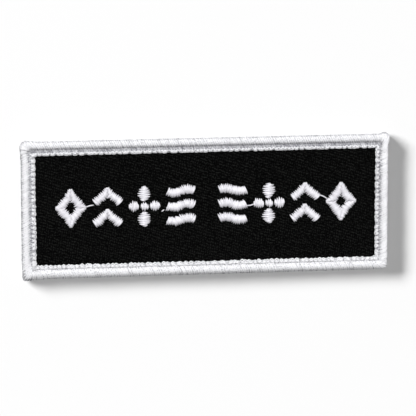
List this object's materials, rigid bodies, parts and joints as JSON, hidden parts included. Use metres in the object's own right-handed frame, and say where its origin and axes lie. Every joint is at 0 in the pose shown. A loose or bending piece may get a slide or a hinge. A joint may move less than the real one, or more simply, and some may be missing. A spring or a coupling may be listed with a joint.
{
  "type": "embroidered cloth patch",
  "caption": "Flat rectangular black twill patch with a thick white merrowed edge and a row of raised white satin-stitched ornaments.",
  "frame": {"origin": "centre of the patch's bounding box, on the surface that the border's underside rests on", "axes": "+X along the row of ornaments as worn, +Y to the top edge as worn, +Z out of the embroidered face"},
  "size_m": [0.1027, 0.0389, 0.0024],
  "materials": {
    "twill": "matt black polyester twill with faint slanting ribs",
    "border_thread": "white polyester overlock thread with a soft sheen",
    "satin_thread": "white trilobal polyester embroidery thread with a satin sheen"
  },
  "bodies": {
    "root": {"ground_cloth": "twill", "merrow_border": "border_thread", "lozenge_left": "satin_thread", "chevron_upper_left": "satin_thread", "chevron_lower_left": "satin_thread", "flower_eye_left": "satin_thread", "petal_top_left": "satin_thread", "petal_bottom_left": "satin_thread", "petal_east_left": "satin_thread", "petal_west_left": "satin_thread", "wave_upper_left": "satin_thread", "wave_middle_left": "satin_thread", "wave_lower_left": "satin_thread", "lozenge_right": "satin_thread", "chevron_upper_right": "satin_thread", "chevron_lower_right": "satin_thread", "flower_eye_right": "satin_thread", "petal_top_right": "satin_thread", "petal_bottom_right": "satin_thread", "petal_east_right": "satin_thread", "petal_west_right": "satin_thread", "wave_upper_right": "satin_thread", "wave_middle_right": "satin_thread", "wave_lower_right": "satin_thread"}
  },
  "joints": []
}
